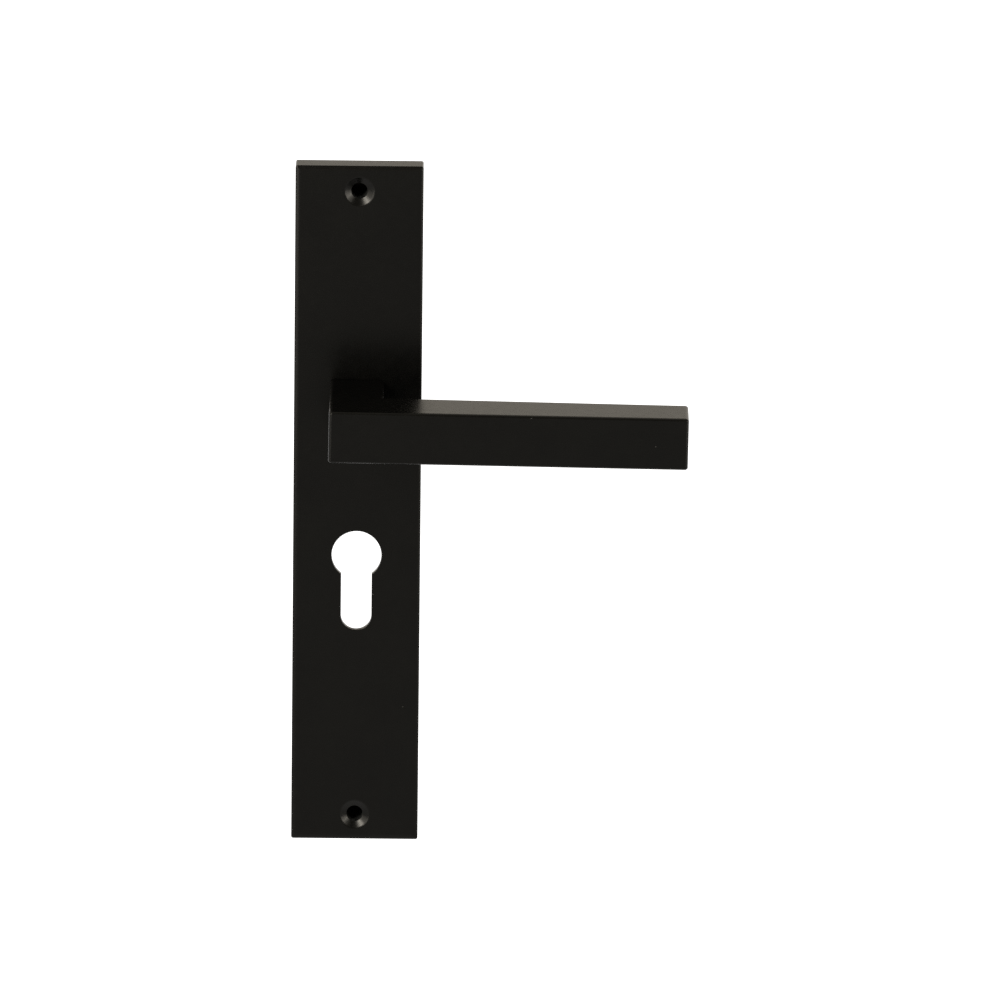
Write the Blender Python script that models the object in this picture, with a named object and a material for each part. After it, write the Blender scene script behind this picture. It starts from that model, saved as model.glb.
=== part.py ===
"""Square lever handle on a long backplate: one half of a set of door furniture.

The origin is on the spindle's axis at the door's face. +X runs along the lever, +Y into the door
and +Z up, so the front of the handle faces -Y. The lever turns about the Y axis, and a positive
angle lowers its tip. Sizes are in millimetres, and MM turns them into metres as meshes are made.
"""

import math

import bmesh
import bpy
from mathutils import Matrix

MM = 0.001
ROUND_SIDES = 48
SHARP_ANGLE = math.radians(32)

# Clearances.
GAP = 0.2  # between pieces that rest on each other
STOP_GAP = 0.3  # between the cam plate's tab and a stop
TURN_GAP = 0.15  # round a piece that turns

# Backplate.
PLATE_WIDTH = 45.0
PLATE_TOP = 86.5  # above the spindle
PLATE_BOTTOM = -159.7
PLATE_DEPTH = 9.0
FRONT_WALL = 2.4
SIDE_WALL = 3.0
PLATE_EDGE = 0.7
SCREW_FROM_END = 9.2
SCREW_HOLE_R = 2.9
SINK_R = 5.2
SINK_SLOPE = math.tan(math.radians(30.0))  # of its cone, from the plate's face
BOSS_R = 6.5
POST_LENGTH = 18.0  # of the post behind each boss, which enters a hole in the door
POST_R = 4.0
CYLINDER_Z = -55.0
CYLINDER_R = 8.8
CYLINDER_SLOT = 10.8
CYLINDER_FOOT = 27.4  # from the circle's centre to the foot of the slot

# Lever.
LEVER_TURN = 45.0  # degrees, from rest to its lower stop
DROOP = 0.6  # degrees, the slack between lever and spindle at rest
PROJECTION = 46.7  # of the grip's front face from the plate's
GRIP_TIP = 116.0
GRIP_HEIGHT = 18.6
GRIP_DEPTH_AT_NECK = 21.9
GRIP_DEPTH_AT_TIP = 20.1
LEVER_LEFT = -9.7
NECK_RIGHT = 9.05
NECK_STANDOFF = 0.6
LEVER_EDGE = 0.7
SPIGOT_R = 7.0
SPIGOT_END = -0.4
SPIGOT_FLAT = 6.2  # from the axis to each of the two flats
SPIGOT_FLATS_FROM = -5.6
GROOVE_R = 6.65

# Spindle and its screw.
SPINDLE = 8.0
SPINDLE_FRONT = -35.0
SPINDLE_BACK = 75.0
SPINDLE_SLACK = 0.1  # on each side, in the lever's square hole
GRUB_Y = -20.0
GRUB_R = 2.4
GRUB_LOW = -8.8
GRUB_SOCKET = 2.5
GRUB_SOCKET_DEPTH = 2.0

# Bearing and washers.
WASHER_R = 8.6
BUSH_R = 8.1
BUSH_FLANGE_R = 10.4
BUSH_FLANGE = 0.9
THRUST_WASHER_R = 9.6
THRUST_WASHER = 0.6
WAVE_WASHER_R = 9.2
WAVE_THICKNESS = 0.3
WAVE_HEIGHT = 0.2
WAVES = 3
CIRCLIP_R = 8.6
CIRCLIP = 1.0
CIRCLIP_GAP_HALF = 14.0  # degrees
EAR_R = 1.5

# Cam plate and its stops. Angles are seen from the front, counterclockwise from +X.
CAM = 1.3
CAM_R = 10.0
TAB_R = 13.5
TAB_HALF = 10.0
TAB_AT_REST = 90.0 + LEVER_TURN / 2
LUG_IN_R = 11.3
LUG_OUT_R = 13.4
LUG_HALF = 7.5
LUG_AT_REST = -90.0 + LEVER_TURN / 2
STOP_IN_R = 10.9
STOP_OUT_R = 13.7
STOP_SPAN = 14.0

# Return spring.
WIRE_R = 0.7
SPRING_R = 15.0
SPRING_TURNS = 1.75
SPRING_BEND = 1.6
LEG_OUT_R = 18.6
LEG_IN_R = 11.5
PEG_SIZE = 3.0
PEG_IN_X = -16.5

# Spring cover and its screws.
COVER = 0.8
COVER_FROM_BACK = 1.1
COVER_HALF_X = 19.1
COVER_HALF_Z = 20.4
COVER_CORNER = 2.0
COVER_HOLE_R = 10.8
WINDOW_IN_R = 12.6
WINDOW_OUT_R = 17.4
WINDOW_HALF = 22.0
PILLAR_X = 16.6
PILLAR_Z = 17.0
PILLAR_R = 3.2
COVER_SCREW_R = 1.1
COVER_SCREW_HEAD_R = 2.2
COVER_SCREW_HEAD = 0.75
COVER_SCREW_LENGTH = 3.2

# Depths worked out from the sizes above.
PLATE_FRONT = -PLATE_DEPTH
WALL_BACK = PLATE_FRONT + FRONT_WALL
NECK_BACK = PLATE_FRONT - NECK_STANDOFF
GRIP_FRONT = PLATE_FRONT - PROJECTION
COVER_BACK = -COVER_FROM_BACK
COVER_FRONT = COVER_BACK - COVER
BUSH_BACK = WALL_BACK + GAP + BUSH_FLANGE
CAM_FRONT = BUSH_BACK + GAP
CAM_BACK = CAM_FRONT + CAM
THRUST_FRONT = CAM_BACK + TURN_GAP
THRUST_BACK = THRUST_FRONT + THRUST_WASHER
CIRCLIP_FRONT = COVER_FRONT - GAP
CIRCLIP_BACK = CIRCLIP_FRONT + CIRCLIP
WAVE_MIDDLE = (THRUST_BACK + CIRCLIP_FRONT) / 2
SPRING_FRONT = WALL_BACK + GAP + WIRE_R
SPRING_BACK = COVER_FRONT - GAP - WIRE_R
OVERLAP = 0.5  # how far joined shapes run into each other
PAST = 2.0  # how far a cutter runs past what it cuts

REAR_LEG = LUG_AT_REST - LUG_HALF - DROOP - math.degrees((WIRE_R + GAP) / LUG_IN_R)
FRONT_LEG = REAR_LEG + SPRING_TURNS * 360


# Outlines: lists of (x, z) points, seen from the front.


def arc(radius, start, end, steps, centre=(0.0, 0.0)):
    """Points along an arc, both ends included, with angles in degrees."""
    angles = [math.radians(start + (end - start) * i / steps) for i in range(steps + 1)]
    return [(centre[0] + radius * math.cos(a), centre[1] + radius * math.sin(a)) for a in angles]


def circle(radius, centre=(0.0, 0.0), sides=ROUND_SIDES):
    return arc(radius, 0, 360, sides, centre)[:-1]


def rectangle(low, high):
    return [low, (high[0], low[1]), high, (low[0], high[1])]


def rounded_rectangle(half_x, half_z, corner, steps=4):
    points = []
    for quarter, (sign_x, sign_z) in enumerate(((1, 1), (-1, 1), (-1, -1), (1, -1))):
        centre = (sign_x * (half_x - corner), sign_z * (half_z - corner))
        points += arc(corner, 90 * quarter, 90 * (quarter + 1), steps, centre)
    return points


def sector(inner, outer, middle, half, steps=6):
    """A piece of a ring, half degrees to each side of its middle."""
    return arc(outer, middle - half, middle + half, steps) + arc(inner, middle + half, middle - half, steps)


def double_d(radius, flat):
    """A circle cut by two flats at x = flat and x = -flat."""
    edge = math.degrees(math.acos(flat / radius))
    steps = ROUND_SIDES // 3
    return arc(radius, edge, 180 - edge, steps) + arc(radius, 180 + edge, 360 - edge, steps)


def cylinder_cutout():
    """The Euro profile: a circle above a narrower slot with a round foot."""
    half = CYLINDER_SLOT / 2
    junction = math.degrees(math.asin(half / CYLINDER_R))
    head = arc(CYLINDER_R, -90 + junction, 270 - junction, ROUND_SIDES - 12, (0, CYLINDER_Z))
    foot = arc(half, 180, 360, ROUND_SIDES // 3, (0, CYLINDER_Z - CYLINDER_FOOT + half))
    return head + foot


def cam_outline():
    """A disc with the stop tab at the top and the tab that carries the spring's lug below."""
    lug_half = LUG_HALF + 1
    points = arc(TAB_R, TAB_AT_REST - TAB_HALF, TAB_AT_REST + TAB_HALF, 4)
    points += arc(CAM_R, TAB_AT_REST + TAB_HALF, LUG_AT_REST + 360 - lug_half, 16)
    points += arc(TAB_R, LUG_AT_REST - lug_half, LUG_AT_REST + lug_half, 4)
    points += arc(CAM_R, LUG_AT_REST + lug_half, TAB_AT_REST - TAB_HALF, 16)
    return points


# Solids: each function adds one closed shell to a bmesh.


def prism(bm, outline, y_front, y_back):
    """The outline, extruded along Y."""
    verts = [bm.verts.new((x, y_front, z)) for x, z in outline]
    extruded = bmesh.ops.extrude_face_region(bm, geom=[bm.faces.new(verts)])["geom"]
    moved = [item for item in extruded if isinstance(item, bmesh.types.BMVert)]
    bmesh.ops.translate(bm, verts=moved, vec=(0, y_back - y_front, 0))


def turned(bm, profile, centre=(0.0, 0.0), sides=ROUND_SIDES):
    """A profile of (radius, y) points spun about an axis along Y. It may start and end on that axis."""
    x, z = centre
    verts = [bm.verts.new((x + radius, y, z)) for radius, y in profile]
    edges = [bm.edges.new(pair) for pair in zip(verts, verts[1:])]
    if profile[0][0] > 0:
        edges.append(bm.edges.new((verts[-1], verts[0])))
    bmesh.ops.spin(
        bm, geom=verts + edges, cent=(x, 0, z), axis=(0, 1, 0), angle=math.tau, steps=sides, use_merge=True
    )
    bmesh.ops.remove_doubles(bm, verts=bm.verts[:], dist=1e-5)


def rod(bm, radius, y_front, y_back, centre=(0.0, 0.0), sides=ROUND_SIDES):
    prism(bm, circle(radius, centre, sides), y_front, y_back)


def ring(bm, inner, outer, y_front, y_back):
    turned(bm, [(inner, y_front), (outer, y_front), (outer, y_back), (inner, y_back)])


# Objects.


def clear_scene():
    for obj in list(bpy.data.objects):
        bpy.data.objects.remove(obj)


def material(name, colour, metallic, roughness):
    made = bpy.data.materials.new(name)
    made.use_nodes = True
    shader = made.node_tree.nodes["Principled BSDF"]
    shader.inputs["Base Color"].default_value = (*colour, 1)
    shader.inputs["Metallic"].default_value = metallic
    shader.inputs["Roughness"].default_value = roughness
    return made


def black_coat(name):
    return material(name, (0.010, 0.010, 0.009), 0.0, 0.45)


def zinc_plate(name):
    return material(name, (0.55, 0.56, 0.57), 1.0, 0.35)


def spring_steel(name):
    return material(name, (0.22, 0.22, 0.24), 1.0, 0.3)


def nylon(name):
    return material(name, (0.78, 0.77, 0.72), 0.0, 0.5)


def place(obj, parent):
    bpy.context.scene.collection.objects.link(obj)
    obj.parent = parent


def add(name, bm, finish, parent=None):
    """A named object from a bmesh in millimetres."""
    bmesh.ops.scale(bm, vec=(MM, MM, MM), verts=bm.verts)
    bmesh.ops.recalc_face_normals(bm, faces=bm.faces)
    mesh = bpy.data.meshes.new(name)
    bm.to_mesh(mesh)
    bm.free()
    mesh.shade_smooth()
    mesh.set_sharp_from_angle(angle=SHARP_ANGLE)
    obj = bpy.data.objects.new(name, mesh)
    if finish:
        mesh.materials.append(finish(name))
    place(obj, parent)
    return obj


def combine(obj, bm, operation):
    """Cuts the bmesh's shells from obj, or joins them to it."""
    helper = add(f"{obj.name}_{operation.lower()}", bm, None, obj.parent)
    helper.hide_render = True
    helper.display_type = "WIRE"
    modifier = obj.modifiers.new(helper.name, "BOOLEAN")
    modifier.operation = operation
    modifier.object = helper


def cut(obj, bm):
    combine(obj, bm, "DIFFERENCE")


def join(obj, bm):
    combine(obj, bm, "UNION")


def finish_shapes():
    """Applies the Booleans, removes their helpers and marks the sharp edges of what they made."""
    graph = bpy.context.evaluated_depsgraph_get()
    shaped = [obj for obj in bpy.data.objects if obj.modifiers]
    meshes = [bpy.data.meshes.new_from_object(obj.evaluated_get(graph)) for obj in shaped]
    helpers = {modifier.object for obj in shaped for modifier in obj.modifiers}
    for obj, mesh in zip(shaped, meshes):
        obj.modifiers.clear()
        obj.data = mesh
        mesh.name = obj.name
        mesh.set_sharp_from_angle(angle=SHARP_ANGLE)
    for helper in helpers:
        bpy.data.objects.remove(helper)


def soften(bm, edges, width):
    bmesh.ops.bevel(bm, geom=edges, offset=width, segments=2, profile=0.5, affect="EDGES")


# Backplate.


def screw_places():
    return [(0.0, PLATE_TOP - SCREW_FROM_END), (0.0, PLATE_BOTTOM + SCREW_FROM_END)]


def pillar_places():
    return [(x, z) for z in (PILLAR_Z, -PILLAR_Z) for x in (-PILLAR_X, PILLAR_X)]


def backplate():
    bm = bmesh.new()
    half = PLATE_WIDTH / 2
    prism(bm, rectangle((-half, PLATE_BOTTOM), (half, PLATE_TOP)), PLATE_FRONT, 0)
    soften(bm, [e for e in bm.edges if any(v.co.y < -OVERLAP for v in e.verts)], PLATE_EDGE)
    plate = add("backplate", bm, black_coat)

    bm = bmesh.new()
    low = (-half + SIDE_WALL, PLATE_BOTTOM + SIDE_WALL)
    high = (half - SIDE_WALL, PLATE_TOP - SIDE_WALL)
    prism(bm, rectangle(low, high), WALL_BACK, PAST)
    cut(plate, bm)

    bm = bmesh.new()
    for centre in screw_places():
        profile = [
            (0, WALL_BACK - OVERLAP),
            (BOSS_R, WALL_BACK - OVERLAP),
            (BOSS_R, 0),
            (POST_R, 0),
            (POST_R, POST_LENGTH - OVERLAP),
            (POST_R - OVERLAP, POST_LENGTH),
            (0, POST_LENGTH),
        ]
        turned(bm, profile, centre)
    for centre in pillar_places():
        rod(bm, PILLAR_R, WALL_BACK - OVERLAP, COVER_FRONT - GAP, centre, ROUND_SIDES // 2)
    stops(bm)
    join(plate, bm)

    bm = bmesh.new()
    rod(bm, BUSH_R + TURN_GAP, PLATE_FRONT - PAST, WALL_BACK + PAST)
    prism(bm, cylinder_cutout(), PLATE_FRONT - PAST, WALL_BACK + PAST)
    sink_depth = (SINK_R - SCREW_HOLE_R) * SINK_SLOPE
    for centre in screw_places():
        profile = [
            (0, PLATE_FRONT - PAST),
            (SINK_R + PAST / SINK_SLOPE, PLATE_FRONT - PAST),
            (SCREW_HOLE_R, PLATE_FRONT + sink_depth),
            (SCREW_HOLE_R, POST_LENGTH + PAST),
            (0, POST_LENGTH + PAST),
        ]
        turned(bm, profile, centre)
    for centre in pillar_places():
        rod(bm, COVER_SCREW_R + TURN_GAP, WALL_BACK + PAST, PAST, centre, ROUND_SIDES // 2)
    cut(plate, bm)


def stops(bm):
    """The two stops for the cam plate's tab, and the peg that the spring's front leg pushes."""
    gap = math.degrees(STOP_GAP / STOP_OUT_R)
    reach = TAB_HALF + gap + STOP_SPAN / 2
    for middle in (TAB_AT_REST + reach, TAB_AT_REST - LEVER_TURN - DROOP - reach):
        outline = sector(STOP_IN_R, STOP_OUT_R, middle, STOP_SPAN / 2)
        prism(bm, outline, WALL_BACK - OVERLAP, CAM_BACK + GAP)
    foot = LEG_OUT_R * math.sin(math.radians(FRONT_LEG)) + 2 * WIRE_R + GAP
    wall = -PLATE_WIDTH / 2 + SIDE_WALL - OVERLAP
    outline = rectangle((wall, foot), (PEG_IN_X, foot + PEG_SIZE))
    prism(bm, outline, WALL_BACK - OVERLAP, SPRING_FRONT + 2 * WIRE_R)


# Lever, spindle and grub screw.


def lever_turn():
    """The empty on the joint's axis that carries what turns with the lever."""
    empty = bpy.data.objects.new("lever_turn", None)
    empty.rotation_euler = (0, math.radians(DROOP), 0)
    place(empty, None)
    return empty


def lever(parent):
    """Grip and neck are one outline seen from above, as deep along Z as the grip is high."""
    seen_from_above = [
        (LEVER_LEFT, GRIP_FRONT),
        (GRIP_TIP, GRIP_FRONT),
        (GRIP_TIP, GRIP_FRONT + GRIP_DEPTH_AT_TIP),
        (NECK_RIGHT, GRIP_FRONT + GRIP_DEPTH_AT_NECK),
        (NECK_RIGHT, NECK_BACK),
        (LEVER_LEFT, NECK_BACK),
    ]
    bm = bmesh.new()
    prism(bm, seen_from_above, -GRIP_HEIGHT / 2, GRIP_HEIGHT / 2)
    # Turns the outline's (x, depth) from the XZ plane into the XY plane.
    bmesh.ops.rotate(bm, verts=bm.verts, cent=(0, 0, 0), matrix=Matrix.Rotation(math.radians(-90), 3, "X"))
    soften(bm, bm.edges[:], LEVER_EDGE)
    handle = add("lever", bm, black_coat, parent)

    bm = bmesh.new()
    profile = [
        (0, NECK_BACK - OVERLAP),
        (SPIGOT_R, NECK_BACK - OVERLAP),
        (SPIGOT_R, CIRCLIP_FRONT - TURN_GAP),
        (GROOVE_R, CIRCLIP_FRONT - TURN_GAP),
        (GROOVE_R, CIRCLIP_BACK + TURN_GAP),
        (SPIGOT_R, CIRCLIP_BACK + TURN_GAP),
        (SPIGOT_R, SPIGOT_END),
        (0, SPIGOT_END),
    ]
    turned(bm, profile)
    join(handle, bm)

    bm = bmesh.new()
    for side in (-1, 1):
        outline = rectangle((side * SPIGOT_FLAT, -SPIGOT_R), (side * (SPIGOT_R + PAST), SPIGOT_R))
        prism(bm, outline, SPIGOT_FLATS_FROM, PAST)
    cut(handle, bm)

    bm = bmesh.new()
    half = SPINDLE / 2 + SPINDLE_SLACK
    prism(bm, rectangle((-half, -half), (half, half)), SPINDLE_FRONT - OVERLAP, PAST)
    cut(handle, bm)

    bm = bmesh.new()
    upright_rod(bm, GRUB_R + TURN_GAP, -GRIP_HEIGHT, -half + OVERLAP)
    cut(handle, bm)


def upright_rod(bm, radius, low, high):
    """A rod along Z at the grub screw's place under the neck."""
    bmesh.ops.create_cone(
        bm,
        cap_ends=True,
        segments=ROUND_SIDES // 2,
        radius1=radius,
        radius2=radius,
        depth=high - low,
        matrix=Matrix.Translation((0, GRUB_Y, (low + high) / 2)),
    )


def spindle():
    """The bar stays square to the lock while the lever droops by its slack, so the empty doesn't carry it."""
    bm = bmesh.new()
    half = SPINDLE / 2
    prism(bm, rectangle((-half, -half), (half, half)), SPINDLE_FRONT, SPINDLE_BACK)
    soften(bm, [e for e in bm.edges if abs(e.verts[0].co.y - e.verts[1].co.y) < OVERLAP], OVERLAP)
    add("spindle", bm, zinc_plate)


def grub_screw(parent):
    bm = bmesh.new()
    high = -SPINDLE / 2 - GAP
    upright_rod(bm, GRUB_R, GRUB_LOW, high)
    soften(bm, [e for e in bm.edges if abs(e.verts[0].co.z - e.verts[1].co.z) < OVERLAP], OVERLAP)
    screw = add("grub_screw", bm, spring_steel, parent)
    bm = bmesh.new()
    bmesh.ops.create_cone(
        bm,
        cap_ends=True,
        segments=6,
        radius1=GRUB_SOCKET / math.sqrt(3),
        radius2=GRUB_SOCKET / math.sqrt(3),
        depth=2 * GRUB_SOCKET_DEPTH,
        matrix=Matrix.Translation((0, GRUB_Y, GRUB_LOW)),
    )
    cut(screw, bm)


# Bearing, cam plate and what holds them.


def bearing_bush():
    inner = SPIGOT_R + TURN_GAP
    profile = [
        (inner, PLATE_FRONT + GAP),
        (BUSH_R, PLATE_FRONT + GAP),
        (BUSH_R, WALL_BACK + GAP),
        (BUSH_FLANGE_R, WALL_BACK + GAP),
        (BUSH_FLANGE_R, BUSH_BACK),
        (inner, BUSH_BACK),
    ]
    bm = bmesh.new()
    turned(bm, profile)
    add("bearing_bush", bm, nylon)


def washers(parent):
    inner = SPIGOT_R + GAP
    middle = (NECK_BACK + PLATE_FRONT) / 2
    bm = bmesh.new()
    ring(bm, inner, WASHER_R, middle - TURN_GAP, middle + TURN_GAP)
    add("front_washer", bm, nylon)
    bm = bmesh.new()
    ring(bm, inner, THRUST_WASHER_R, THRUST_FRONT, THRUST_BACK)
    add("thrust_washer", bm, zinc_plate, parent)
    bm = bmesh.new()
    ring(bm, inner, WAVE_WASHER_R, -WAVE_THICKNESS / 2, WAVE_THICKNESS / 2)
    for vert in bm.verts:
        vert.co.y += WAVE_MIDDLE + WAVE_HEIGHT * math.cos(WAVES * math.atan2(vert.co.z, vert.co.x))
    add("wave_washer", bm, spring_steel, parent)


def cam_plate(parent):
    bm = bmesh.new()
    prism(bm, cam_outline(), CAM_FRONT, CAM_BACK)
    cam = add("cam_plate", bm, zinc_plate, parent)
    bm = bmesh.new()
    outline = sector(LUG_IN_R, LUG_OUT_R, LUG_AT_REST, LUG_HALF)
    prism(bm, outline, CAM_BACK - OVERLAP, SPRING_BACK + WIRE_R)
    join(cam, bm)
    bm = bmesh.new()
    prism(bm, double_d(SPIGOT_R + TURN_GAP, SPIGOT_FLAT + TURN_GAP), CAM_FRONT - PAST, CAM_BACK + PAST)
    cut(cam, bm)


def circlip(parent):
    """An open ring with an eared end on each side of its gap, which faces down."""
    gap_middle = -90.0
    bm = bmesh.new()
    start, end = gap_middle + CIRCLIP_GAP_HALF, gap_middle + 360 - CIRCLIP_GAP_HALF
    inner = GROOVE_R + TURN_GAP
    outline = arc(CIRCLIP_R, start, end, ROUND_SIDES) + arc(inner, end, start, ROUND_SIDES)
    prism(bm, outline, CIRCLIP_FRONT, CIRCLIP_BACK)
    clip = add("circlip", bm, spring_steel, parent)
    ears = [arc(CIRCLIP_R - OVERLAP / 2, a, a, 1)[0] for a in (start + 2, end - 2)]
    sides = ROUND_SIDES // 2
    bm = bmesh.new()
    for centre in ears:
        rod(bm, EAR_R, CIRCLIP_FRONT, CIRCLIP_BACK, centre, sides)
    join(clip, bm)
    bm = bmesh.new()
    for centre in ears:
        rod(bm, EAR_R / 3, CIRCLIP_FRONT - PAST, CIRCLIP_BACK + PAST, centre, sides)
    cut(clip, bm)


# Return spring.


def spring_route():
    """Points (x, y, z) of the wire: a leg out to the plate's peg, the coil, a leg in to the cam's lug."""
    bend_angle = math.degrees(SPRING_BEND / SPRING_R)
    bend = [math.radians(90 * i / 4) for i in range(5)]
    places = [(LEG_OUT_R, FRONT_LEG)]
    for t in bend:
        radius = SPRING_R + SPRING_BEND * (1 - math.sin(t))
        places.append((radius, FRONT_LEG - bend_angle * (1 - math.cos(t))))
    first, last = FRONT_LEG - bend_angle, REAR_LEG + bend_angle
    steps = round(32 * SPRING_TURNS)
    places += [(SPRING_R, first + (last - first) * i / steps) for i in range(1, steps)]
    for t in bend:
        radius = SPRING_R - SPRING_BEND * (1 - math.cos(t))
        places.append((radius, last - bend_angle * math.sin(t)))
    places.append((LEG_IN_R, REAR_LEG))
    points = []
    for radius, angle in places:
        share = (FRONT_LEG - angle) / (FRONT_LEG - REAR_LEG)
        (x, z), _ = arc(radius, angle, angle, 1)
        points.append((x, SPRING_FRONT + (SPRING_BACK - SPRING_FRONT) * share, z))
    return points


def return_spring():
    route = spring_route()
    curve = bpy.data.curves.new("return_spring", "CURVE")
    curve.dimensions = "3D"
    curve.bevel_depth = WIRE_R * MM
    curve.bevel_resolution = 2
    curve.use_fill_caps = True
    spline = curve.splines.new("POLY")
    spline.points.add(len(route) - 1)
    for point, (x, y, z) in zip(spline.points, route):
        point.co = (x * MM, y * MM, z * MM, 1)
    curve.materials.append(spring_steel("return_spring"))
    place(bpy.data.objects.new("return_spring", curve), None)


# Spring cover.


def spring_cover():
    bm = bmesh.new()
    prism(bm, rounded_rectangle(COVER_HALF_X, COVER_HALF_Z, COVER_CORNER), COVER_FRONT, COVER_BACK)
    cover = add("spring_cover", bm, zinc_plate)
    bm = bmesh.new()
    front, back = COVER_FRONT - PAST, COVER_BACK + PAST
    rod(bm, COVER_HOLE_R, front, back)
    for middle in (0, 180):
        prism(bm, sector(WINDOW_IN_R, WINDOW_OUT_R, middle, WINDOW_HALF, 8), front, back)
    for centre in pillar_places():
        rod(bm, COVER_SCREW_R + GAP, front, back, centre, ROUND_SIDES // 2)
    cut(cover, bm)


def cover_screws():
    """Low-headed cross-recess screws, one into each pillar."""
    head_front = COVER_BACK + GAP / 2
    head_back = head_front + COVER_SCREW_HEAD
    recess = COVER_SCREW_HEAD_R * 0.62
    arm = COVER_SCREW_HEAD_R * 0.12
    for number, centre in enumerate(pillar_places(), 1):
        profile = [
            (0, COVER_BACK - COVER_SCREW_LENGTH),
            (COVER_SCREW_R, COVER_BACK - COVER_SCREW_LENGTH),
            (COVER_SCREW_R, head_front),
            (COVER_SCREW_HEAD_R, head_front),
            (COVER_SCREW_HEAD_R, head_back - GAP),
            (COVER_SCREW_HEAD_R - GAP, head_back),
            (0, head_back),
        ]
        bm = bmesh.new()
        turned(bm, profile, centre, ROUND_SIDES // 2)
        screw = add(f"cover_screw_{number}", bm, zinc_plate)
        x, z = centre
        cross = [(recess, arm), (arm, arm), (arm, recess)]
        outline = []
        for sign_x, sign_z, order in ((1, 1, 1), (-1, 1, -1), (-1, -1, 1), (1, -1, -1)):
            outline += [(x + sign_x * a, z + sign_z * b) for a, b in cross[::order]]
        bm = bmesh.new()
        prism(bm, outline, head_back - COVER_SCREW_HEAD / 2, head_back + PAST)
        cut(screw, bm)


def main():
    clear_scene()
    backplate()
    bearing_bush()
    return_spring()
    spring_cover()
    cover_screws()
    turning = lever_turn()
    lever(turning)
    grub_screw(turning)
    cam_plate(turning)
    circlip(turning)
    washers(turning)
    spindle()
    finish_shapes()


main()
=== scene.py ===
"""The looks of a square lever handle on its long backplate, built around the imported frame.

The frame's origin is on the spindle's axis at the door's face: +X runs along the lever, +Y into the
door and +Z up, so the front faces -Y. Sizes are in millimetres, and MM turns them into metres as
meshes are made. Angles are seen from the front, counterclockwise from +X.
"""

import math
from collections import namedtuple

import bmesh
import bpy
from mathutils import Matrix, Vector

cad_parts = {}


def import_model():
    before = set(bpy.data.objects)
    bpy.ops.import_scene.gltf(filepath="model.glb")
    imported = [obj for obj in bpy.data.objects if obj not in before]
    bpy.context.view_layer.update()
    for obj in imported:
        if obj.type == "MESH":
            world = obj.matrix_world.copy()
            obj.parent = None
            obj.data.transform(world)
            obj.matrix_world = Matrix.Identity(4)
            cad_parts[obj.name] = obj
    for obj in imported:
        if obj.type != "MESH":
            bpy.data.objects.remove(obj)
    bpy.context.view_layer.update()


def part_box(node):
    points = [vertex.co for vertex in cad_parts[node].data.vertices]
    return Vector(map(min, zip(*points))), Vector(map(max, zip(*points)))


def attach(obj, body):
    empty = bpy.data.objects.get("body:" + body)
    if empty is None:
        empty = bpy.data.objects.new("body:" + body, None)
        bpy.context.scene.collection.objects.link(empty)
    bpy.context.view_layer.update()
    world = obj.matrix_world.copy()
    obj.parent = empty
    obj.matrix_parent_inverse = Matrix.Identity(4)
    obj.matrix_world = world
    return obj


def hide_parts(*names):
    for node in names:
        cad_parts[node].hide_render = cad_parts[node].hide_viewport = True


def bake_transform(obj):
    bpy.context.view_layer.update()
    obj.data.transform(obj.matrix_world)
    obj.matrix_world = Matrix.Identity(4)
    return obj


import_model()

MM = 0.001

# How fine the meshes are.
SIDES = 96  # round a full circle
SMALL_SIDES = 48  # round a screw, a pillar or an ear
TINY_SIDES = 32  # round a small hole
CORNER_STEPS = 5
EDGE_STEPS = 4
ROLL_STEPS = 6
SHARPEST = 0.1  # the smallest corner's radius
SHARP_ANGLE = math.radians(38)  # between two faces, from which their edge is shaded as sharp
NEARLY_STRAIGHT = math.radians(80)  # half the angle of a corner that stays as it is
OVERLAP = 0.5  # how far joined shapes run into each other
PAST = 2.0  # how far a cutter runs past what it cuts

Span = namedtuple("Span", "left front low right back high")


def span(node):
    """A CAD node's box in millimetres."""
    low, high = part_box(node)
    return Span(*(value / MM for value in (*low, *high)))


def middle_of(box):
    """(x, z) of a box's middle."""
    return (box.left + box.right) / 2, (box.low + box.high) / 2


# Places and outer sizes, from the frame.
PLATE = span("backplate")
LEVER = span("lever")
SPINDLE = span("spindle")
WASHER = span("front_washer")
BUSH = span("bearing_bush")
CAM = span("cam_plate")
THRUST = span("thrust_washer")
WAVE = span("wave_washer")
CLIP = span("circlip")
COVER = span("spring_cover")
COVER_SCREWS = [f"cover_screw_{number}" for number in (1, 2, 3, 4)]

# Threads.
THREAD_STEPS = 10  # in one turn
RIDGE_SLOPE = 1.5  # of a flank, in the thread's depth per half pitch
RIDGE_SUNK = 0.2  # how far below the core a flank starts, as a share of the thread's depth

# Clearances.
GAP = 0.2  # between pieces that rest on each other
STOP_GAP = 0.3  # between the cam plate's tab and a stop
TURN_GAP = 0.15  # round a piece that turns

# Backplate.
DOOR_FACE = 0.0
FRONT_WALL = 2.4
WALL_BACK = PLATE.front + FRONT_WALL
SIDE_WALL = 3.0
PLATE_EDGE = 0.7
PLATE_CORNER = 1.1 * PLATE_EDGE
PLATE_ROLL = 2.0  # how far in the front's rolled edge starts
RIM_EDGE = 0.25
POCKET_CORNER = 1.6
CAST_FILLET = 0.6
SCREW_FROM_END = 9.2
SCREW_HOLE_R = 2.9
SINK_R = 5.2
SINK_SLOPE = 30.0  # degrees, of its cone from the plate's face
SINK_DEPTH = (SINK_R - SCREW_HOLE_R) * math.tan(math.radians(SINK_SLOPE))
SINK_LIP = 1.5
SINK_LIP_STEPS = 6
BOSS_R = 6.5
BOSS_EDGE = 0.35
BOSS_STEP = 0.02  # from a boss's back to the plane of the plate's rim
POST_R = 4.0
CYLINDER_Z = -55.0
CYLINDER_R = 8.8
CYLINDER_SLOT = 10.8
CYLINDER_FOOT = 27.4  # from the circle's centre to the foot of the slot
CUTOUT_LIP = 0.25
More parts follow.
